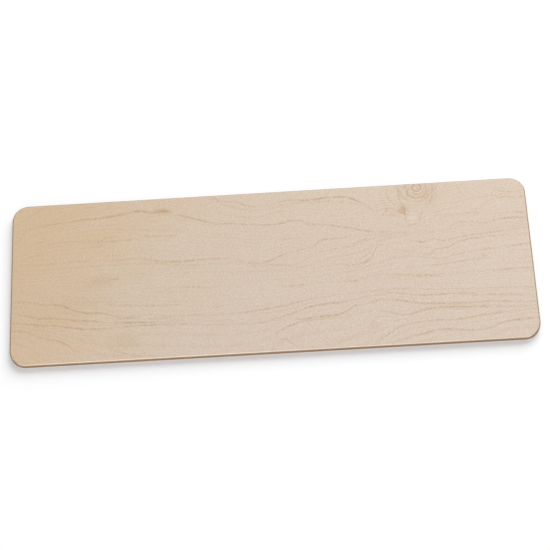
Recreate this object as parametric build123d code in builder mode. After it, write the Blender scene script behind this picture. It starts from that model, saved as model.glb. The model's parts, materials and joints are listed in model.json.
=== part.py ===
"""Transfer board: a plain sliding board that bridges a wheelchair seat and a bed.

The board is one panel of seven-ply maple plywood. Thin hardwood veneers are glued up with
the grain of each ply square to its neighbours', then the panel is sawn to a rectangle, its
four corners are rounded and both rims are rounded over. Every ply and every film of glue
is its own solid, so the rounded rims cut through them as a router does.

Frame: origin at the centre of the underside, +X along the board, +Z up through the plies.
"""

import os

from build123d import *

# Driving dimensions, in millimetres
LENGTH = 609.6  # 24 in, across the gap between two seats
WIDTH = 203.2  # 8 in
CORNER_RADIUS = 19.0  # the four corners, seen from above
RIM_RADIUS = 2.0  # the round-over along the top and bottom rims
FACE_PLY = 0.7  # the peeled maple veneer on each face
INNER_PLY = 1.4  # every ply between the two faces
GLUE_FILM = 0.1  # the resin film between two plies

# The plies from the underside up, each with its thickness. Those named long, and the two
# face veneers, have their grain along X. The crossbands and the core have it along Y.
PLIES = [
    ("back_veneer", FACE_PLY),
    ("crossband_lower", INNER_PLY),
    ("long_ply_lower", INNER_PLY),
    ("core_ply", INNER_PLY),
    ("long_ply_upper", INNER_PLY),
    ("crossband_upper", INNER_PLY),
    ("face_veneer", FACE_PLY),
]


def lay_up():
    """Every layer from the underside up, as (name, thickness), with glue between plies."""
    layers = [PLIES[0]]
    for joint, ply in enumerate(PLIES[1:], start=1):
        layers += [(f"glue_line_{joint}", GLUE_FILM), ply]
    return layers


def make_blank(thickness):
    """The finished outline of the board as one block, before it is parted into layers."""
    with BuildPart() as blank:
        with BuildSketch():
            RectangleRounded(LENGTH, WIDTH, CORNER_RADIUS)
        extrude(amount=thickness)
        rims = blank.edges().group_by(Axis.Z)
        fillet(rims[0] + rims[-1], RIM_RADIUS)
    return blank.part


def make_layer(blank, name, underside, topside):
    """The slice of the blank between two heights, with a label."""
    with BuildPart() as layer:
        add(blank)
        split(bisect_by=Plane.XY.offset(underside), keep=Keep.TOP)
        split(bisect_by=Plane.XY.offset(topside), keep=Keep.BOTTOM)
    layer.part.label = name
    return layer.part


def main():
    os.makedirs("parts", exist_ok=True)
    layers = lay_up()
    thickness = sum(depth for _, depth in layers)
    blank = make_blank(thickness)
    underside = 0.0
    for name, depth in layers:
        layer = make_layer(blank, name, underside, underside + depth)
        export_step(layer, f"parts/{name}.step")
        print(f"{name}: {underside:.2f} to {underside + depth:.2f} mm, {layer.volume:.0f} mm3")
        underside += depth
    print(f"board: {LENGTH} x {WIDTH} x {thickness:.2f} mm, {blank.volume:.0f} mm3")


main()
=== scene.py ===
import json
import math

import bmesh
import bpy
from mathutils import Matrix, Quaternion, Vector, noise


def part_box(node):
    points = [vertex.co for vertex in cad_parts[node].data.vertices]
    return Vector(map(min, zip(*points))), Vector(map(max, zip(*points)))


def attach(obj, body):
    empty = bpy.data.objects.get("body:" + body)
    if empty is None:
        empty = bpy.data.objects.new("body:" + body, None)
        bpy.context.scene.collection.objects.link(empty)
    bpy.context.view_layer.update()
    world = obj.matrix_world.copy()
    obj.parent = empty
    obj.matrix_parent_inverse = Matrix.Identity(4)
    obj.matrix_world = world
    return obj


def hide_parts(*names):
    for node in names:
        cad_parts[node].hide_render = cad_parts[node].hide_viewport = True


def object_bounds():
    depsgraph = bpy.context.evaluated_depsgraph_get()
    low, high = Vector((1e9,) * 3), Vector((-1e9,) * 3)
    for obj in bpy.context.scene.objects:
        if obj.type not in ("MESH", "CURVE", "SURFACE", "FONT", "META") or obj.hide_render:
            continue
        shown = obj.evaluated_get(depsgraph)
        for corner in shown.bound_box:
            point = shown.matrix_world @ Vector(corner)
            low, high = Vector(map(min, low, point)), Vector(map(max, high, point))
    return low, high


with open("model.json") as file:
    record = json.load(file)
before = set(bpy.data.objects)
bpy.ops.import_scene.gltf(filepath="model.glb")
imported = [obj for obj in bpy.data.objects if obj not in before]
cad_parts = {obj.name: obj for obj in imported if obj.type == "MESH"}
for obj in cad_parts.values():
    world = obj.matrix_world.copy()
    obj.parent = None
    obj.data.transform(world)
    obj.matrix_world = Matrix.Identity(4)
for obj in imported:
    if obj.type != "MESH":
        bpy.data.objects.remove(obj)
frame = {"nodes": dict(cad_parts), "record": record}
cad_low, cad_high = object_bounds()

# The looks of a transfer board: a panel of seven maple plies with its resin films, rounded
# corners and rounded rims. Every layer is rebuilt as its own fine mesh between the heights
# that the frame gives. The faces get a drawn maple figure, and the edges show the plies.
#
# Everything is in metres in the frame, except where a name or comment says millimetres.

MM = 0.001

# The board
LENGTH = cad_high.x - cad_low.x
WIDTH = cad_high.y - cad_low.y
TOP = cad_high.z
CORNER_RADIUS = 19 * MM
RIM_RADIUS = 2 * MM

# The fineness of the meshes
CELL = 10 * MM  # along the straight sides and over the flat faces
CORNER_STEPS = 20  # round one corner
RIM_STEP = 7.5  # degrees of the round-over from one ring of points to the next
SIDE_STEPS = 4  # even steps up a layer's edge, besides the round-over's
RING_GAP = 0.02 * MM  # the least from a layer's face to the next ring of points
FACE_RINGS = [2.3 * MM, 3.2 * MM, 6.5 * MM, 12 * MM]  # insets of the rings on a flat face
TOUCH = 0.01 * MM  # two heights closer than this are the same
WELD = 0.002 * MM  # points closer than this are joined
SLIVER = 0.001 * MM  # edges shorter than this are dissolved
SMOOTH_ANGLE = 35  # degrees between two faces that still look like one smooth surface

# The handwork that the CAD model leaves out
SANDING = 0.06  # how much the round-over's radius wanders, as a share of it
SANDING_WAVE = 55 * MM
EDGE_HOLLOW = 0.03 * MM  # how far a ply's edge sands away between its harder glue lines
FACE_WAVE = 70 * MM
FACE_HOLLOW = 0.05 * MM

# The camera, the floor and the light
CAMERA_AIM = Vector((4.35 * MM, -2.62 * MM, 0))
CAMERA_DISTANCE = 1.8447
CAMERA_YAW = 3.245  # degrees, towards the right end
CAMERA_ELEVATION = 66.584
CAMERA_ROLL = -6.312
CAMERA_LENS = 103.18  # millimetres
SENSOR = 36  # millimetres across
FLOOR_SIZE = 2.4
FLOOR_CELLS = 4
FLOOR_DROP = 0.03 * MM  # keeps the floor clear of the underside
FLOOR_COLOUR = (1.0, 0.995, 0.99, 1)
FLOOR_ROUGHNESS = 0.9
AMBIENT = 0.40
AMBIENT_COLOUR = (0.97, 0.995, 1.035, 1)

# Each light: azimuth from +Y towards +X and elevation in degrees, distance, width, power in
# watts, colour and whether it casts shadows. The broad key behind, to the right, throws the
# soft shadow in front of the board. The fill in front lights the near rim and casts none.
LIGHTS = {
    "key": (25, 38, 4.0, 4.2, 139, (1.0, 1.0, 0.99), True),
    "fill": (188, 42, 3.0, 1.4, 30, (1.0, 1.0, 1.0), False),
}

# The noise values that are stretched to a full swing, and those between two flat levels
NOISE_RANGE = (0.25, 0.75)
NOISE_MIDDLE = (0.35, 0.65)

# The figure's lines and rings, in millimetres
WANDERS = [(45, 14, 1.4), (9, 4, 0.9), (2.6, 2.2, 0.45)]  # wave along, wave across, amount
LINE_REACH = 2.3  # to each side of a drawn line
LINE_GRAIN = 0.9  # how far the speckle breaks up a drawn line
PATCH = (9, 14)  # the length and width of a drawn line's paler and darker parts
PATCHINESS = 0.45  # how unevenly a drawn line takes its colour
STROKE_FADE = 2.0  # to each side of a stroke's end, where it fades
RING_DENSITY = 2  # rings drawn for each one that a figure counts
LATE_RISE = (0.55, 0.97)  # where in a ring its late wood begins and where it is full
LATE_END = 0.06  # where in the next ring it is over
RING_LENGTH = 34  # the length over which a ring's darkness changes
RING_CHANGE = 3.7  # how far the noise moves from one ring to the next
KNOT_REACH = 1.6  # how far a knot darkens its rings, in the knot's own reaches
KNOT_RINGS = 5.2  # how many times darker the rings are close to a knot
MARK_STRENGTH = 0.40  # what a mark of darkness 1 adds to the stain

# The grain, as (length, width) in millimetres
LONG_GRAIN = (8, 1.6)
FIBRE = (3.4, 1.2)
SPECKLE = (1.8, 1.15)
HAIR = (3, 0.28)
MOTTLE = (14, 6)
CLOUD = (90, 38)
FLOW_LENGTH = 10  # of the streaks that follow the rings
FLOW_PER_RING = 4.1  # how many widths of these lie across a ring

# How much each of these counts: in the stain, which goes towards late wood, in the shade, which
# keeps the hue, in the relief and in the roughness
STAIN_LEVEL = 0.16
STAIN = {
    "drawn": 0.32, "late": 0.16, "flow": 0.07, "long_grain": 0.03, "fibre": 0.13,
    "speckle": 0.175, "mottle": 0.025,
}
SHADE = {"drawn": 0.01, "long_grain": 0.006, "fibre": 0.02, "speckle": 0.05, "mottle": 0.004}
RELIEF = {"hair": 0.5, "fibre": 0.5}
ROUGHENING = {"fibre": 0.03, "drawn": 0.05}

# The honey colour of the left end. Sizes are in millimetres.
HONEY_FADE = (20, 290)  # from its full share to its least
HONEY_SHARES = (0.9, 0.08)
HONEY_CLOUD = 45  # how far its border wanders
HONEY_SLANT = 0.3  # how much less far it reaches for each millimetre towards the near side
FAR_HONEY = 0.14  # a further share along the far side
FAR_HONEY_WIDTH = 160

# The rims: ranges of the normal's lean, and shares of the colour. The paler arris and the paler near rim
# are painted highlights, the darker far rim is painted shade, and the ends' rims are end grain darkened
# further as painted shade.
ARRIS_HIGHLIGHT_DEPTH = (0.08, 0.45)  # millimetres from the face
ARRIS_HIGHLIGHT_SHARE = 0.75
ARRIS_HIGHLIGHT_CLOUD = 0.08  # millimetres by which the cloud moves that depth
END_LEAN = (0.15, 0.42)
END_SHARE = 0.92
# Painted shade on the rim where it leans to the far side
FAR_LEAN = (0.15, 0.6)
FAR_PAINTED_SHADE = 0.52
# Painted highlight on the rim where it leans to the near side
NEAR_LEAN = (-0.5, -0.08)
NEAR_PAINTED_HIGHLIGHT = 0.36

# The plies' edges. Sizes are along and across the grain, in millimetres.
EDGE_FIBRE = (14, 0.45)
EDGE_BAND = (60, 9)
EDGE_SHADE = 0.22  # how far all of it goes towards the grain's shadow
EDGE_FIBRE_SHADE = 0.2
EDGE_BAND_SHADE = 0.14
CUT_LEAN = (0.25, 0.85)  # of the normal along the ply's grain
# Where a ply's rounded edge tilts up or down it is painted paler, a painted highlight, mostly on the long
# sides
PLY_HIGHLIGHT_TILT = (0.12, 0.45)  # of the normal up or down
PLY_HIGHLIGHT_LEAN = (0.2, 0.6)  # of the normal along the board
PLY_HIGHLIGHT_SHARES = (0.9, 0.1)  # on the long sides and on the ends

# The resin
SMEAR_SIZE = 2.5  # millimetres
SMEAR_SHADE = 0.25  # how far it goes towards end grain, on average

# Finishes, as (roughness, coat weight, coat roughness) and (bump distance, bump strength)
FACE_FINISH = (0.42, 0.22, 0.28)
FACE_BUMP = (0.03 * MM, 0.5)
EDGE_FINISH = (0.5, 0.15, 0.3)
EDGE_BUMP = (0.05 * MM, 0.6)
EDGE_ROUGHENING = 0.06
RESIN_ROUGHNESS = 0.38
RESIN_ROUGHENING = 0.08
RESIN_BUMP = (0.02 * MM, 0.4)

# Maple and resin, as linear colours
PALE_WOOD = (0.675, 0.565, 0.472, 1)
HONEY_WOOD = (0.665, 0.494, 0.325, 1)
LATE_WOOD = (0.50, 0.325, 0.175, 1)
# The arris colour is a painted highlight
ARRIS_HIGHLIGHT_WOOD = (0.76, 0.63, 0.50, 1)
# End grain of the face veneer, made darker still as painted shade on the ends' rims
END_VENEER_AND_SHADE = (0.26, 0.15, 0.075, 1)
SIDE_GRAIN = (0.45, 0.27, 0.13, 1)
END_GRAIN = (0.25, 0.14, 0.07, 1)
# The colour of the plies' painted highlight
PLY_HIGHLIGHT_GRAIN = (0.76, 0.60, 0.46, 1)
GRAIN_SHADOW = (0.15, 0.075, 0.035, 1)
RESIN = (0.10, 0.05, 0.025, 1)

# The figure of a veneer, in millimetres: along from the board's left end, and across from its
# far side. "lines" are growth lines that cross the whole veneer: the number of rings up to the
# next line, how dark the line is drawn as (along, darkness) points, and its course as (along,
# across) points, which run off the board where the line does. "strokes" are shorter dark
# lines: darkness and course. "knots" are pin knots that the rings close round: place, reach
# each way and rings. "eyes" are drawn rings: centre, radii and darkness. "marks" are soft
# brown patches, or pale ones where they are below zero: place, reach each way and darkness.
FACE_FIGURE = {
    "lines": [
        (6, [(0, 0), (610, 0)], [(0, -14), (610, -14)]),
        (1, [(0, 0), (225, 0.2), (250, 0.8), (300, 0.6), (315, 0.3), (330, 0.9), (430, 0.9), (445, 0.2),
             (500, 0.2), (560, 0.3), (610, 0.4)],
         [(0, -9), (200, -9), (240, 3), (250, 9), (266, 11), (280, 17), (310, 17), (326, 13), (348, 14),
          (385, 12), (404, 15), (420, 25), (434, 33), (446, 30), (456, 30), (470, 36), (486, 36),
          (500, 32), (516, 30), (536, 26), (572, 22), (610, 17)]),
        (2, [(0, 0), (230, 0.2), (256, 0.5), (300, 0.3), (340, 0.6), (400, 0.5), (430, 0.3), (500, 0.2),
             (572, 0.4), (600, 0.6), (610, 0.4)],
         [(0, -6), (200, -6), (224, 0), (248, 11), (262, 17), (280, 22), (304, 22), (329, 17.5),
          (375, 17), (392, 19), (412, 23), (426, 31), (434, 43), (452, 52), (476, 57), (492, 50),
          (502, 45), (540, 43), (572, 26), (596, 26), (610, 25)]),
        (3, [(0, 0.5), (40, 0.4), (60, 0), (240, 0.2), (270, 0.5), (310, 0.5), (340, 0.1), (610, 0.3)],
         [(0, 26), (12, 20), (24, 12), (40, 3), (56, -3), (180, -3), (216, 8), (240, 20), (270, 31),
          (298, 31.5), (312, 28), (340, 26), (400, 27), (420, 34), (434, 50), (452, 57), (476, 60),
          (500, 54), (544, 48.5), (580, 46), (610, 45.5)]),
        (5, [(0, 0.5), (30, 0.7), (90, 1.0), (190, 1.1), (240, 1.1), (275, 0.7), (300, 0.75), (340, 1.2),
             (360, 0.8), (400, 1.2), (440, 0.5), (460, 0.15), (515, 0.15), (530, 0.8), (556, 0.5),
             (570, 1.0), (610, 0.7)],
         [(0, 52), (9, 44), (14, 36), (21, 31), (40, 27), (65, 25), (92, 22), (120, 20), (135, 17.5),
          (150, 15), (165, 18), (182, 17), (190, 21), (204, 26), (220, 31), (243, 37.5), (260, 39),
          (290, 42), (312, 43), (341, 40), (350, 44.5), (370, 47), (404, 54), (422, 59), (480, 62),
          (515, 60.5), (522, 56), (545, 54.5), (560, 57), (568, 54.5), (610, 53)]),
        (2, [(0, 0.1), (40, 0.4), (120, 0.5), (160, 0.9), (240, 0.9), (256, 0.3), (275, 0.9), (315, 0.9),
             (330, 0.2), (345, 0.7), (385, 0.8), (400, 0.3), (436, 0.6), (500, 0.3), (610, 0.2)],
         [(0, 78), (40, 77), (88, 76.5), (128, 78), (152, 77.5), (175, 82), (200, 83.5), (248, 83),
          (266, 86), (280, 91), (304, 90), (314, 85), (322, 82), (345, 77), (357, 74.5), (365, 68),
          (386, 66), (404, 64), (440, 63), (480, 64), (512, 63.5), (524, 60), (560, 60), (610, 57)]),
        (1, [(0, 0.1), (95, 0.4), (130, 0.4), (200, 0.6), (250, 0.4), (330, 0.5), (345, 0.2), (366, 0.5),
             (404, 0.5), (436, 0.6), (470, 0.3), (610, 0.4)],
         [(0, 84), (98, 84), (160, 84), (200, 88), (235, 89.5), (262, 90), (285, 94.5), (316, 95),
          (331, 97), (346, 91), (358, 84), (375, 80), (404, 76), (420, 71), (438, 66), (460, 67),
          (488, 66), (512, 66), (560, 65), (610, 62)]),
        (1, [(0, 0.0), (190, 0.1), (240, 0.2), (300, 0.4), (345, 0.3), (380, 0.4), (404, 0.6), (434, 0.6),
             (470, 0.3), (486, 0.9), (500, 0.6), (540, 0.6), (560, 0.8), (610, 0.3)],
         [(0, 95), (200, 98), (300, 102), (345, 99), (380, 90), (404, 87), (420, 82), (434, 72),
          (450, 69), (470, 74), (484, 77), (496, 74), (508, 76), (535, 72), (557, 70), (610, 66)]),
        (1, [(0, 0.1), (300, 0.1), (380, 0.3), (404, 0.8), (433, 1.0), (440, 0.1), (478, 0.1), (492, 0.8),
             (505, 0.9), (535, 0.7), (572, 0.5), (610, 0.3)],
         [(0, 103), (200, 103), (340, 104), (380, 100), (404, 100.5), (418, 97), (424, 91), (434, 77),
          (442, 80), (462, 88), (478, 92), (492, 92.5), (498, 87.5), (512, 85), (524, 79.5),
          (545, 75.5), (590, 74), (610, 74)]),
        (1, [(0, 0.1), (300, 0.1), (440, 0.4), (470, 0.4), (490, 0.5), (520, 0.5), (550, 0.7), (575, 0.2),
             (590, 0.7), (610, 0.4)],
         [(0, 108), (200, 109), (400, 109), (430, 100), (450, 95), (470, 94.5), (488, 97), (505, 99.5),
          (522, 95), (555, 91), (580, 89), (610, 86)]),
        (1, [(0, 0.1), (200, 0.1), (480, 0.1), (512, 0.7), (552, 0.3), (610, 0.4)],
         [(0, 112), (400, 114), (460, 110), (508, 106.5), (553, 102), (580, 104), (610, 103)]),
        (3, [(0, 0.1), (196, 0.4), (222, 0.8), (240, 0.1), (310, 0.1), (335, 0.8), (350, 0.3), (400, 0.3),
             (450, 0.5), (487, 0.9), (500, 0.4), (560, 0.3), (574, 0.7), (610, 0.4)],
         [(0, 115), (200, 117), (220, 118), (280, 121), (334, 123), (350, 121), (400, 121), (430, 115),
          (452, 117), (487, 120.5), (520, 119), (610, 118)]),
        (1, [(0, 0.5), (30, 0.7), (64, 1.0), (108, 0.9), (125, 0.5), (200, 0.3), (250, 0.6), (322, 0.9),
             (360, 0.3), (440, 0.5), (540, 0.3), (575, 0.6), (610, 0.5)],
         [(0, 125), (20, 124.5), (35, 128), (52, 130), (64, 133), (72, 138), (90, 142.5), (110, 144),
          (118, 147), (150, 149), (200, 153), (262, 153.5), (290, 151.5), (322, 146), (355, 140),
          (402, 137), (440, 134.5), (480, 137), (556, 140), (610, 142)]),
        (1, [(0, 0.2), (22, 0.9), (60, 1.0), (103, 0.9), (120, 0.3), (130, 1.2), (150, 1.2), (165, 0.5),
             (200, 0.4), (300, 0.2), (330, 0.9), (385, 0.9), (420, 0.5), (460, 0.7), (530, 0.9),
             (575, 0.8), (610, 0.5)],
         [(0, 137), (22, 142.5), (32, 145.5), (48, 146), (68, 149.5), (95, 153), (116, 156), (150, 157.5),
          (200, 158), (256, 162), (300, 162), (330, 157), (345, 151), (364, 148), (384, 147),
          (422, 141), (450, 140), (470, 143.5), (524, 145), (556, 148.5), (610, 151)]),
        (2, [(0, 0.7), (24, 1.0), (50, 0.8), (82, 1.1), (110, 0.6), (150, 1.0), (200, 0.6), (220, 0.4),
             (285, 0.5), (305, 0.8), (322, 0.2), (345, 0.9), (396, 1.0), (404, 0.5), (430, 0.9),
             (540, 0.8), (610, 0.2)],
         [(0, 149), (16, 151), (40, 155.5), (52, 156), (72, 160), (98, 162.5), (150, 161), (200, 163),
          (240, 166), (285, 167), (312, 163), (324, 164.5), (336, 165.5), (350, 164), (380, 162),
          (390, 159), (398, 153), (414, 150), (430, 147), (450, 149), (476, 154), (520, 156.5),
          (560, 157), (610, 160)]),
        (2, [(0, 0.8), (20, 0.7), (44, 0.7), (62, 0.8), (75, 0.2), (290, 0), (306, 0.6), (340, 0.8),
             (400, 0.2), (470, 1.0), (500, 0.9), (520, 0.9), (575, 0.6), (610, 0.2)],
         [(0, 160), (20, 162.5), (34, 169), (48, 173.5), (62, 178), (80, 190), (104, 206), (140, 212),
          (290, 212), (303, 200), (308, 182), (316, 176), (328, 171), (344, 167), (380, 166),
          (402, 163), (424, 160), (460, 166.5), (472, 164), (484, 161.5), (520, 162), (610, 165)]),
        (1, [(0, 0.3), (30, 0.2), (410, 0.3), (450, 0.9), (470, 0.7), (500, 0.8), (553, 1.0), (575, 0.5),
             (610, 0.5)],
         [(0, 190), (20, 200), (40, 214), (408, 216), (420, 199), (434, 191), (449, 181.5), (463, 178),
          (485, 176), (518, 176), (535, 173.5), (553, 172), (580, 170), (610, 168)]),
        (2, [(0, 0), (440, 0.3), (466, 0.6), (485, 0.9), (560, 0.8), (600, 0.9), (610, 0.5)],
         [(0, 205), (20, 216), (428, 219), (440, 202), (458, 196), (472, 192), (492, 188), (558, 188),
          (564, 184), (580, 181), (610, 180)]),
        (0, [(0, 0), (610, 0)], [(0, 230), (610, 230)]),
    ],
    "strokes": [
        (0.9, [(100, 52), (122, 53), (142, 52)]),
        (0.5, [(42, 54), (60, 51), (100, 52)]),
        (0.7, [(108, 47.5), (124, 47)]),
        (0.5, [(154, 47.5), (178, 50), (196, 50)]),
        (0.5, [(20, 68), (40, 64)]),
        (0.5, [(16, 60), (22, 52), (40, 48)]),
        (0.4, [(120, 36), (150, 40), (200, 43)]),
        (0.9, [(116, 102), (128, 102)]),
        (0.6, [(112, 132.5), (135, 135.5), (175, 138), (198, 139)]),
        (1.1, [(126, 151), (152, 151.5)]),
        (0.7, [(160, 153), (178, 154), (194, 152)]),
        (0.5, [(113, 188), (128, 193), (146, 198)]),
        (0.7, [(236, 143.5), (248, 143.5)]),
        (0.6, [(320, 63.5), (342, 62)]),
        (1.2, [(311, 187.5), (321, 188.5)]),
        (0.6, [(321, 191), (332, 199)]),
        (0.6, [(310, 96), (332, 97)]),
        (0.8, [(394, 121), (406, 122)]),
        (0.9, [(468, 53.5), (474, 54), (481, 50.5)]),
        (0.8, [(434, 43.5), (442, 36), (447, 29)]),
        (0.6, [(504, 44), (522, 44.5)]),
        (0.7, [(536, 43), (554, 43)]),
        (1.0, [(595, 44.5), (605, 46)]),
        (0.6, [(573, 9), (580, 16), (604, 17.5)]),
        (0.9, [(436, 61.5), (444, 60.5)]),
        (0.9, [(551, 99), (557, 99.3)]),
        (0.7, [(540, 148), (604, 151)]),
        (0.6, [(401, 75), (412, 71), (420, 68)]),
        (0.6, [(402, 96.5), (412, 93), (422, 85), (430, 78)]),
        (0.8, [(459, 3), (460, 12), (461, 20), (465, 29), (466, 38), (467, 46), (470, 53)]),
        (0.8, [(500, 2), (500, 16), (497, 26), (491, 33), (485, 40), (483, 46), (480, 51)]),
        (0.4, [(496, 20), (492, 28), (487, 33)]),
        (0.4, [(504, 6), (503, 20), (499, 29), (494, 35)]),
        (0.5, [(448, 4), (446, 10), (448, 17), (455, 27)]),
        (0.4, [(441, 4), (438, 12), (440, 20), (447, 28)]),
        (0.4, [(426, 4), (423, 9), (425, 15)]),
        (0.4, [(530, 5), (533, 14), (538, 20)]),
    ],
    "knots": [((482, 11), (21, 19), 4.5), ((420, 178), (4, 4), 1.2)],
    "eyes": [((482, 11.5), (11, 8.5), 0.9), ((483, 11), (5.5, 4), 0.7), ((480, 12), (16, 13), 0.6)],
    "marks": [
        ((179, 17), (10, 3.4), 1.4),
        ((151, 15), (8, 2.2), 0.6),
        ((132, 17.5), (8, 1.8), 0.6),
        ((463, 34), (6, 6), 1.3),
        ((452, 37), (5, 5), 0.5),
        ((474, 44), (6, 6), -0.5),
        ((474, 24), (14, 3), -0.3),
        ((471, 87), (7, 3), 0.4),
        ((528, 144.5), (8, 2.4), 0.4),
        ((105, 58), (6, 1.8), 0.4),
        ((418, 178), (6, 5), 0.4),
        ((104, 104), (18, 7), 0.55),
        ((92, 128), (34, 8), 0.25),
        ((482, 13), (22, 16), 0.3),
        ((132, 178), (15, 9), 0.5),
        ((48, 150), (40, 26), 0.18),
        ((470, 119), (60, 4), 0.2),
        ((510, 159), (30, 3.5), 0.35),
    ],
}

# The veneer on the underside is a calmer sheet, with one cathedral and no knot.
BACK_FIGURE = {
    "lines": [
        (4, [(0, 0.3), (300, 0.5), (610, 0.2)], [(0, -8), (180, -4), (420, -12), (610, -6)]),
        (3, [(0, 0.4), (260, 0.8), (610, 0.4)], [(0, 22), (140, 28), (300, 24), (470, 31), (610, 27)]),
        (4, [(0, 0.6), (200, 0.4), (450, 0.9), (610, 0.5)],
         [(0, 48), (120, 52), (260, 46), (380, 57), (500, 60), (610, 53)]),
        (5, [(0, 0.9), (240, 0.6), (400, 1.0), (520, 0.3), (610, 0.2)],
         [(0, 72), (150, 80), (300, 84), (420, 93), (500, 98), (560, 100), (610, 100)]),
        (5, [(0, 0.8), (200, 1.0), (400, 0.7), (520, 0.3), (610, 0.2)],
         [(0, 131), (150, 124), (300, 119), (420, 109), (500, 104), (560, 103), (610, 103)]),
        (4, [(0, 0.5), (250, 0.9), (610, 0.6)], [(0, 152), (160, 146), (330, 143), (480, 137), (610, 141)]),
        (3, [(0, 0.3), (300, 0.5), (610, 0.7)], [(0, 178), (200, 171), (400, 174), (610, 166)]),
        (0, [(0, 0), (610, 0)], [(0, 214), (610, 216)]),
    ],
    "strokes": [
        (0.5, [(60, 38), (96, 39), (130, 42)]),
        (0.7, [(330, 98), (352, 100), (372, 103)]),
        (0.5, [(210, 162), (260, 159), (300, 160)]),
    ],
    "knots": [],
    "eyes": [],
    "marks": [((250, 68), (30, 7), 0.25), ((520, 150), (22, 6), 0.2)],
}


def make_object(name, mesh):
    made = bpy.data.objects.new(name, mesh)
    bpy.context.scene.collection.objects.link(made)
    return made


class Graph:
    """A material and short calls for the nodes that the woods share."""

    def __init__(self, name):
        self.material = bpy.data.materials.new(name)
        self.material.use_nodes = True
        self.tree = self.material.node_tree
        self.shader = self.tree.nodes["Principled BSDF"]

    def feed(self, socket, value):
        if isinstance(value, bpy.types.NodeSocket):
            self.tree.links.new(value, socket)
        else:
            socket.default_value = value

    def node(self, kind, inputs, **settings):
        made = self.tree.nodes.new(kind)
        for name, value in settings.items():
            setattr(made, name, value)
        for name, value in inputs.items():
            self.feed(made.inputs[name], value)
        return made

    def math(self, operation, *values, clamp=False):
        inputs = dict(enumerate(values))
        return self.node("ShaderNodeMath", inputs, operation=operation, use_clamp=clamp).outputs[0]

    def total(self, *values):
        result = values[0]
        for value in values[1:]:
            result = self.math("ADD", result, value)
        return result

    def weigh(self, values, weights):
        """The sum of the named values, each times its weight."""
        parts = [self.math("MULTIPLY", values[name], weight) for name, weight in weights.items()]
        return self.total(*parts)

    def apart(self, one, other):
        return self.math("ABSOLUTE", self.math("SUBTRACT", one, other))

    def vector(self, x, y, z=0.0):
        return self.node("ShaderNodeCombineXYZ", {"X": x, "Y": y, "Z": z}).outputs[0]

    def axes(self, vector):
        return self.node("ShaderNodeSeparateXYZ", {"Vector": vector}).outputs

    def surface(self):
        """The place on the surface and its normal, both as axes."""
        source = self.node("ShaderNodeTexCoord", {}).outputs
        return self.axes(source["Object"]), self.axes(source["Normal"])

    def curve(self, points, value):
        """A smooth curve through the points, read at value."""
        made = self.node("ShaderNodeFloatCurve", {"Value": value})
        mapping = made.mapping
        mapping.use_clip = False
        drawn = mapping.curves[0].points
        for old, place in zip(drawn, (points[0], points[-1])):
            old.location = place
        for place in points[1:-1]:
            drawn.new(*place)
        mapping.update()
        return made.outputs[0]

    def spread(self, value, low, high, to_low=0.0, to_high=1.0, kind="SMOOTHSTEP"):
        inputs = {"Value": value, "From Min": low, "From Max": high, "To Min": to_low, "To Max": to_high}
        return self.node("ShaderNodeMapRange", inputs, interpolation_type=kind).outputs[0]

    def noise(self, vector, detail=2.0):
        inputs = {"Vector": vector, "Scale": 1.0, "Detail": detail, "Roughness": 0.5}
        return self.node("ShaderNodeTexNoise", inputs)

    def swing(self, vector, detail=2.0):
        """Noise from -1 to 1."""
        return self.spread(self.noise(vector, detail).outputs[0], *NOISE_RANGE, -1, 1, "LINEAR")

    def uneven(self, vector, low, high):
        """Noise between low and high, which stays at either for a while."""
        return self.spread(self.noise(vector).outputs[0], *NOISE_MIDDLE, low, high)

    def scaled(self, places, sizes):
        """The places as a vector, each divided by its size."""
        return self.vector(*[self.math("DIVIDE", place, size) for place, size in zip(places, sizes)])

    def streaks(self, places, sizes, detail=2.0):
        """Streaks of about the sizes given, from -1 to 1."""
        return self.swing(self.scaled(places, sizes), detail)

    def ellipse(self, along, across, place, reach):
        """The squared distance from an ellipse's middle, 1 on the ellipse."""
        squares = [
            self.math("POWER", self.math("DIVIDE", self.math("SUBTRACT", value, middle), size), 2)
            for value, middle, size in zip((along, across), place, reach)
        ]
        return self.math("ADD", *squares)

    def blot(self, along, across, place, reach):
        """A soft spot, 1 at its middle."""
        far = self.ellipse(along, across, place, reach)
        return self.math("EXPONENT", self.math("MULTIPLY", far, -1))

    def blend(self, share, one, other):
        made = self.node("ShaderNodeMix", {}, data_type="RGBA")
        colours = [socket for socket in made.inputs if socket.type == "RGBA"]
        self.feed(made.inputs[0], share)
        self.feed(colours[0], one)
        self.feed(colours[1], other)
        return [socket for socket in made.outputs if socket.type == "RGBA"][0]

    def dim(self, colour, amount):
        """The colour made darker by a share of itself, or paler where the amount is below zero."""
        keep = self.math("SUBTRACT", 1, amount)
        scaled = self.node("ShaderNodeVectorMath", {"Vector": colour, "Scale": keep}, operation="SCALE")
        return scaled.outputs[0]

    def bump(self, height, distance, strength):
        inputs = {"Height": height, "Distance": distance, "Strength": strength}
        self.feed(self.shader.inputs["Normal"], self.node("ShaderNodeBump", inputs).outputs[0])

    def set(self, **values):
        for name, value in values.items():
            self.feed(self.shader.inputs[name.replace("_", " ")], value)


def wander(graph, along, across, wave_along, wave_across, amount):
    """The two places shifted by smooth noise, up to about amount."""
    where = graph.scaled((along, across), (wave_along, wave_across))
    shift = graph.axes(graph.noise(where).outputs["Color"])
    return [
        graph.total(place, graph.math("MULTIPLY_ADD", move, 2 * amount, -amount))
        for place, move in zip((along, across), shift)
    ]


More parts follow.
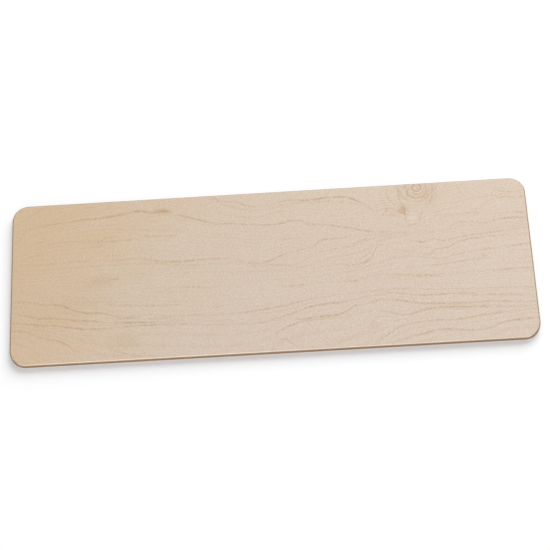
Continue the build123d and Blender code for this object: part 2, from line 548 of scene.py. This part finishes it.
def growth_rings(graph, along, across, figure):
    """The growth lines' courses, and the ring number: whole on a line, closing round the knots."""
    courses = [graph.curve(course, along) for _, _, course in figure["lines"]]
    ring = 0.0
    for (rings, _, _), upper, lower in zip(figure["lines"], courses, courses[1:]):
        gap = graph.math("SUBTRACT", lower, upper)
        share = graph.math("DIVIDE", graph.math("SUBTRACT", across, upper), gap, clamp=True)
        ring = graph.math("MULTIPLY_ADD", share, rings, ring)
    for place, reach, rings in figure["knots"]:
        knot = graph.math("MULTIPLY", graph.blot(along, across, place, reach), rings)
        ring = graph.math("SUBTRACT", ring, knot)
    return courses, ring


def drawn_lines(graph, along, across, figure, courses):
    """How dark the drawn lines, strokes and eyes are at a place."""
    darkest = 0.0
    for (_, darkness, _), course in zip(figure["lines"], courses):
        if max(value for _, value in darkness) > 0:
            near = graph.spread(graph.apart(across, course), 0, LINE_REACH, 1, 0)
            near = graph.math("MULTIPLY", near, graph.curve(darkness, along))
            darkest = graph.math("MAXIMUM", darkest, near)
    for darkness, course in figure["strokes"]:
        flat = abs(course[-1][0] - course[0][0]) >= abs(course[-1][1] - course[0][1])
        driver, crossing = (along, across) if flat else (across, along)
        points = sorted(course if flat else [(v, u) for u, v in course])
        off = graph.apart(crossing, graph.curve(points, driver))
        near = graph.spread(off, 0, LINE_REACH, darkness, 0)
        for end, inward in ((points[0][0], 1), (points[-1][0], -1)):
            fade = graph.spread(driver, end - inward * STROKE_FADE, end + inward * STROKE_FADE)
            near = graph.math("MULTIPLY", near, fade)
        darkest = graph.math("MAXIMUM", darkest, near)
    for place, reach, darkness in figure["eyes"]:
        radius = graph.math("SQRT", graph.ellipse(along, across, place, reach))
        off = graph.math("MULTIPLY", graph.apart(radius, 1), reach[0])
        darkest = graph.math("MAXIMUM", darkest, graph.spread(off, 0, LINE_REACH, darkness, 0))
    patchy = graph.uneven(graph.scaled((along, across), PATCH), 1 - PATCHINESS, 1 + PATCHINESS)
    return graph.math("MULTIPLY", darkest, patchy)


def late_wood(graph, along, across, figure, ring):
    """How dark the rings are. Each darkens slowly by its own amount, and ends sharply."""
    sheet = graph.math("MULTIPLY", ring, RING_DENSITY)
    age = graph.math("FRACT", sheet)
    which = graph.math("FLOOR", sheet)
    late = graph.math("MAXIMUM", graph.spread(age, *LATE_RISE), graph.spread(age, 0, LATE_END, 1, 0))
    place = graph.vector(
        graph.math("DIVIDE", along, RING_LENGTH), graph.math("MULTIPLY", which, RING_CHANGE)
    )
    late = graph.math("MULTIPLY", late, graph.uneven(place, 0.0, 1.0))
    for place, reach, _ in figure["knots"]:
        close = graph.blot(along, across, place, [KNOT_REACH * size for size in reach])
        late = graph.math("MULTIPLY", late, graph.math("MULTIPLY_ADD", close, KNOT_RINGS - 1, 1))
    return late


def honey_share(graph, along, across, cloud):
    """How honey-coloured the wood is: most at the left end, and a little on the far side."""
    reach = graph.total(
        along, graph.math("MULTIPLY", cloud, HONEY_CLOUD), graph.math("MULTIPLY", across, HONEY_SLANT)
    )
    honey = graph.spread(reach, *HONEY_FADE, *HONEY_SHARES)
    return graph.math("ADD", honey, graph.spread(across, 0, FAR_HONEY_WIDTH, FAR_HONEY, 0), clamp=True)


def far_painted_shade(graph, lean):
    """Painted shade: how much darker the rim is where it leans to the far side."""
    return graph.spread(lean, *FAR_LEAN, 0, FAR_PAINTED_SHADE)


def maple_face(name, figure, facing):
    """A peeled maple veneer with its figure, its fibres and a satin lacquer, with painted highlights on the
    arris and the near rim, and painted shade on the far rim and the ends' rims.
    """
    graph = Graph(name)
    place, normal = graph.surface()
    along = graph.math("MULTIPLY_ADD", place[0], 1 / MM, LENGTH / 2 / MM)
    across = graph.math("MULTIPLY_ADD", place[1], -1 / MM, WIDTH / 2 / MM)
    up = graph.math("MULTIPLY", place[2], 1 / MM)
    bent = along, across
    for wave_along, wave_across, amount in WANDERS:
        bent = wander(graph, *bent, wave_along, wave_across, amount)
    courses, ring = growth_rings(graph, *bent, figure)

    cloud = graph.streaks((along, across), CLOUD)
    flow = graph.vector(
        graph.math("DIVIDE", bent[0], FLOW_LENGTH), graph.math("MULTIPLY", ring, FLOW_PER_RING)
    )
    speckle = graph.streaks((bent[0], across), SPECKLE, 1.0)
    drawn = drawn_lines(graph, *bent, figure, courses)
    grain = {
        "drawn": graph.math("MULTIPLY", drawn, graph.math("MULTIPLY_ADD", speckle, LINE_GRAIN, 1)),
        "late": late_wood(graph, along, across, figure, ring),
        "flow": graph.swing(flow, 3),
        "long_grain": graph.streaks(bent, LONG_GRAIN),
        "fibre": graph.streaks((along, bent[1]), FIBRE),
        "speckle": speckle,
        "hair": graph.streaks((along, bent[1]), HAIR),
        "mottle": graph.streaks(bent, MOTTLE),
    }
    stain = graph.weigh(grain, STAIN)
    for middle, reach, darkness in figure["marks"]:
        spot = graph.blot(*bent, middle, reach)
        stain = graph.math("MULTIPLY_ADD", spot, darkness * MARK_STRENGTH, stain)

    wood = graph.blend(honey_share(graph, along, across, cloud), PALE_WOOD, HONEY_WOOD)
    wood = graph.blend(graph.math("ADD", stain, STAIN_LEVEL, clamp=True), wood, LATE_WOOD)
    # Painted highlight: the arris just below the face is paler
    depth = graph.math("MULTIPLY_ADD", cloud, ARRIS_HIGHLIGHT_CLOUD, graph.apart(up, facing))
    wood = graph.blend(graph.spread(depth, *ARRIS_HIGHLIGHT_DEPTH, 0, ARRIS_HIGHLIGHT_SHARE), wood, ARRIS_HIGHLIGHT_WOOD)
    # The ends' rims: the veneer's end grain, darkened further as painted shade
    cut = graph.spread(graph.math("ABSOLUTE", normal[0]), *END_LEAN, 0, END_SHARE)
    wood = graph.blend(cut, wood, END_VENEER_AND_SHADE)
    # Painted highlight: the rim that leans to the near side is paler
    near_highlight = graph.spread(normal[1], *NEAR_LEAN, -NEAR_PAINTED_HIGHLIGHT, 0)
    wood = graph.dim(wood, graph.total(graph.weigh(grain, SHADE), far_painted_shade(graph, normal[1]), near_highlight))

    roughness, coat, coat_roughness = FACE_FINISH
    gloss = graph.math("ADD", graph.weigh(grain, ROUGHENING), roughness)
    graph.set(Base_Color=wood, Roughness=gloss, Coat_Weight=coat, Coat_Roughness=coat_roughness)
    graph.bump(graph.weigh(grain, RELIEF), *FACE_BUMP)
    return graph.material


def ply_edge(name, grain):
    """A ply seen on the board's edges: side grain along it, darker end grain where it is cut, a painted
    highlight where its rounded edge tilts up or down, and painted shade where it leans to the far side.
    """
    graph = Graph(name)
    place, normal = graph.surface()
    place = [graph.math("MULTIPLY", axis, 1 / MM) for axis in place]
    lean = [graph.math("ABSOLUTE", axis) for axis in normal]
    fibre, band = [
        graph.streaks(place, [length if axis == grain else width for axis in range(3)], detail)
        for (length, width), detail in ((EDGE_FIBRE, 3), (EDGE_BAND, 2))
    ]
    wood = graph.blend(graph.spread(lean[grain], *CUT_LEAN), SIDE_GRAIN, END_GRAIN)
    shade = graph.total(
        EDGE_SHADE,
        graph.math("MULTIPLY", fibre, EDGE_FIBRE_SHADE),
        graph.math("MULTIPLY", band, EDGE_BAND_SHADE),
    )
    wood = graph.blend(graph.math("MAXIMUM", shade, 0), wood, GRAIN_SHADOW)
    # Painted highlight on the plies' rounded edges, most on the long sides
    sides = graph.spread(lean[0], *PLY_HIGHLIGHT_LEAN, *PLY_HIGHLIGHT_SHARES)
    ply_highlight = graph.math("MULTIPLY", graph.spread(lean[2], *PLY_HIGHLIGHT_TILT), sides)
    wood = graph.blend(ply_highlight, wood, PLY_HIGHLIGHT_GRAIN)
    # Painted shade on the edges that lean to the far side
    wood = graph.dim(wood, far_painted_shade(graph, normal[1]))
    roughness, coat, coat_roughness = EDGE_FINISH
    gloss = graph.math("MULTIPLY_ADD", fibre, EDGE_ROUGHENING, roughness)
    graph.set(Base_Color=wood, Roughness=gloss, Coat_Weight=coat, Coat_Roughness=coat_roughness)
    graph.bump(fibre, *EDGE_BUMP)
    return graph.material


def resin(name):
    """Cured glue, dark and slightly glassy, uneven where the cutter smeared it."""
    graph = Graph(name)
    place, _ = graph.surface()
    place = [graph.math("MULTIPLY", axis, 1 / MM) for axis in place]
    smear = graph.streaks(place, [SMEAR_SIZE] * 3, 3)
    shade = graph.math("MULTIPLY_ADD", smear, SMEAR_SHADE, SMEAR_SHADE, clamp=True)
    gloss = graph.math("MULTIPLY_ADD", smear, RESIN_ROUGHENING, RESIN_ROUGHNESS)
    graph.set(Base_Color=graph.blend(shade, RESIN, END_GRAIN), Roughness=gloss)
    graph.bump(smear, *RESIN_BUMP)
    return graph.material


def round_over(depth):
    """How far the rim pulls the outline in, at a depth below the nearer face."""
    rise = RIM_RADIUS - min(max(depth, 0.0), RIM_RADIUS)
    return RIM_RADIUS - math.sqrt(RIM_RADIUS**2 - rise**2)


def split(extent):
    """Even places, about a cell apart, along a side of this extent between its two corners."""
    high = extent / 2 - CORNER_RADIUS
    count = max(1, round(2 * high / CELL))
    return [2 * high * step / count - high for step in range(count)] + [high]


GRID_X = split(LENGTH)
GRID_Y = split(WIDTH)


def outline():
    """The board's outline seen from above, as (centre, outward direction) for every point."""
    left, right = GRID_X[0], GRID_X[-1]
    near, far = GRID_Y[0], GRID_Y[-1]
    sides = [
        [Vector((x, near, 0)) for x in GRID_X[1:-1]],
        [Vector((right, y, 0)) for y in GRID_Y[1:-1]],
        [Vector((x, far, 0)) for x in reversed(GRID_X[1:-1])],
        [Vector((left, y, 0)) for y in reversed(GRID_Y[1:-1])],
    ]
    corners = [(right, near), (right, far), (left, far), (left, near)]
    quarter = math.radians(90)
    points = []
    for turn, (side, corner) in enumerate(zip(sides, corners)):
        start = quarter * (turn - 1)
        points += [(centre, Vector((math.cos(start), math.sin(start), 0))) for centre in side]
        for step in range(CORNER_STEPS + 1):
            angle = start + quarter * step / CORNER_STEPS
            points.append((Vector((*corner, 0)), Vector((math.cos(angle), math.sin(angle), 0))))
    return points


OUTLINE = outline()


def ring_heights(low, high):
    """The heights of a layer's rings: its faces, the round-over's steps and even steps between."""
    turns = [math.radians(RIM_STEP * step) for step in range(1, round(90 / RIM_STEP))]
    steps = [RIM_RADIUS * (1 - math.cos(turn)) for turn in turns]
    middle = [low + (high - low) * step / SIDE_STEPS for step in range(1, SIDE_STEPS)]
    marks = steps + [TOP - step for step in steps] + middle
    return [low] + sorted(z for z in marks if low + RING_GAP < z < high - RING_GAP) + [high]


def side_point(centre, outward, height, hollow):
    """A point on the board's edge, with the wander of hand sanding."""
    rim = centre + outward * CORNER_RADIUS
    drift = noise.noise(rim / SANDING_WAVE)
    pull = round_over(min(height, TOP - height)) * (1 + SANDING * drift) + hollow
    return centre + outward * (CORNER_RADIUS - pull) + Vector((0, 0, height))


def sagged(place, towards):
    """A place on a broad face, sunk a little by sanding."""
    sag = FACE_HOLLOW * (0.5 + 0.5 * noise.noise(Vector((place.x, place.y, 0)) / FACE_WAVE))
    return place - Vector((0, 0, towards * sag))


def add_face(build, height, towards):
    """A layer's flat face: its grid, and its loops of points from the rim inwards."""
    outer = abs(height - (0 if towards < 0 else TOP)) < TOUCH
    loops = []
    for inset in FACE_RINGS + [CORNER_RADIUS]:
        loop = [centre + outward * (CORNER_RADIUS - inset) for centre, outward in OUTLINE]
        loop = [Vector((place.x, place.y, height)) for place in loop]
        if outer and inset > FACE_RINGS[1]:
            loop = [sagged(place, towards) for place in loop]
        loops.append([build.verts.new(place) for place in loop])
    grid = []
    for x in GRID_X:
        column = [Vector((x, y, height)) for y in GRID_Y]
        if outer:
            column = [sagged(place, towards) for place in column]
        grid.append([build.verts.new(place) for place in column])
    for one, other in zip(grid, grid[1:]):
        for k in range(len(GRID_Y) - 1):
            corners = (one[k], other[k], other[k + 1], one[k + 1])
            build.faces.new(corners[::towards])
    return loops


def make_layer(node, name, material, edge_hollow):
    """One ply, veneer or resin film as a closed mesh."""
    low, high = (corner.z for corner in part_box(node))
    build = bmesh.new()
    rings = []
    for height in ring_heights(low, high):
        hollow = edge_hollow * math.sin(math.pi * (height - low) / (high - low))
        rings.append([build.verts.new(side_point(c, o, height, hollow)) for c, o in OUTLINE])
    rings = add_face(build, low, -1)[::-1] + rings
    rings = rings + add_face(build, high, 1)
    for lower, upper in zip(rings, rings[1:]):
        for k in range(len(OUTLINE)):
            k2 = (k + 1) % len(OUTLINE)
            build.faces.new((lower[k], lower[k2], upper[k2], upper[k]))
    bmesh.ops.remove_doubles(build, verts=build.verts, dist=WELD)
    bmesh.ops.dissolve_degenerate(build, edges=build.edges, dist=SLIVER)
    mesh = bpy.data.meshes.new(name)
    build.to_mesh(mesh)
    build.free()
    mesh.shade_smooth()
    mesh.set_sharp_from_angle(angle=math.radians(SMOOTH_ANGLE))
    mesh.materials.append(material)
    piece = make_object(name, mesh)
    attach(piece, "root")
    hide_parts(node)
    return piece


def make_board():
    """Every layer of the board, in its finish."""
    slots = {entry["node"]: entry["material_slot"] for entry in frame["record"]["subparts"]}
    finishes = {
        "face_veneer": maple_face("maple_face_figure", FACE_FIGURE, TOP / MM),
        "back_veneer": maple_face("maple_back_figure", BACK_FIGURE, 0),
        "long_grain_ply": ply_edge("ply_grain_along", 0),
        "cross_grain_ply": ply_edge("ply_grain_across", 1),
        "resin_glue": resin("cured_resin"),
    }
    for node in sorted(frame["nodes"]):
        finish = finishes[node if node in finishes else slots[node]]
        kind = "_film" if slots[node] == "resin_glue" else "_sheet"
        hollow = EDGE_HOLLOW if slots[node] in ("long_grain_ply", "cross_grain_ply") else 0.0
        piece = make_layer(node, node + kind, finish, hollow)


def direction(azimuth, elevation):
    """The unit vector at an azimuth from +Y towards +X, and an elevation, in degrees."""
    turn, rise = math.radians(azimuth), math.radians(elevation)
    return Vector((math.sin(turn) * math.cos(rise), math.cos(turn) * math.cos(rise), math.sin(rise)))


def make_floor():
    build = bmesh.new()
    bmesh.ops.create_grid(build, x_segments=FLOOR_CELLS, y_segments=FLOOR_CELLS, size=FLOOR_SIZE / 2)
    mesh = bpy.data.meshes.new("floor")
    build.to_mesh(mesh)
    build.free()
    graph = Graph("pale_floor")
    graph.set(Base_Color=FLOOR_COLOUR, Roughness=FLOOR_ROUGHNESS, Specular_IOR_Level=0.0)
    mesh.materials.append(graph.material)
    floor = make_object("floor", mesh)
    floor.location.z = -FLOOR_DROP


def make_world():
    """Soft ambient light, in a room that the camera sees as pure white."""
    world = bpy.data.worlds.new("white_room")
    bpy.context.scene.world = world
    world.use_nodes = True
    tree = world.node_tree
    ambient = tree.nodes["Background"]
    ambient.inputs["Color"].default_value = AMBIENT_COLOUR
    ambient.inputs["Strength"].default_value = AMBIENT
    backdrop = tree.nodes.new("ShaderNodeBackground")
    backdrop.inputs["Color"].default_value = (1, 1, 1, 1)
    seen = tree.nodes.new("ShaderNodeLightPath")
    either = tree.nodes.new("ShaderNodeMixShader")
    tree.links.new(seen.outputs["Is Camera Ray"], either.inputs[0])
    tree.links.new(ambient.outputs[0], either.inputs[1])
    tree.links.new(backdrop.outputs[0], either.inputs[2])
    tree.links.new(either.outputs[0], tree.nodes["World Output"].inputs["Surface"])


def make_lights():
    for name, (azimuth, elevation, distance, width, power, colour, shadows) in LIGHTS.items():
        lamp = bpy.data.lights.new(name, "AREA")
        lamp.shape = "DISK"
        lamp.size = width
        lamp.energy = power
        lamp.color = colour
        lamp.use_shadow = shadows
        towards = direction(azimuth, elevation)
        light = make_object(name, lamp)
        light.location = towards * distance
        light.rotation_euler = towards.to_track_quat("Z", "Y").to_euler()


def make_camera():
    camera = make_object("camera", bpy.data.cameras.new("camera"))
    camera.data.sensor_width = SENSOR
    camera.data.lens = CAMERA_LENS
    back = direction(180 - CAMERA_YAW, CAMERA_ELEVATION)
    camera.location = CAMERA_AIM + back * CAMERA_DISTANCE
    level = back.to_track_quat("Z", "Y")
    camera.rotation_mode = "QUATERNION"
    camera.rotation_quaternion = level @ Quaternion((0, 0, 1), math.radians(CAMERA_ROLL))
    bpy.context.scene.camera = camera


make_camera()
make_floor()
make_world()
make_lights()
make_board()

bpy.context.scene.view_settings.view_transform = "Standard"
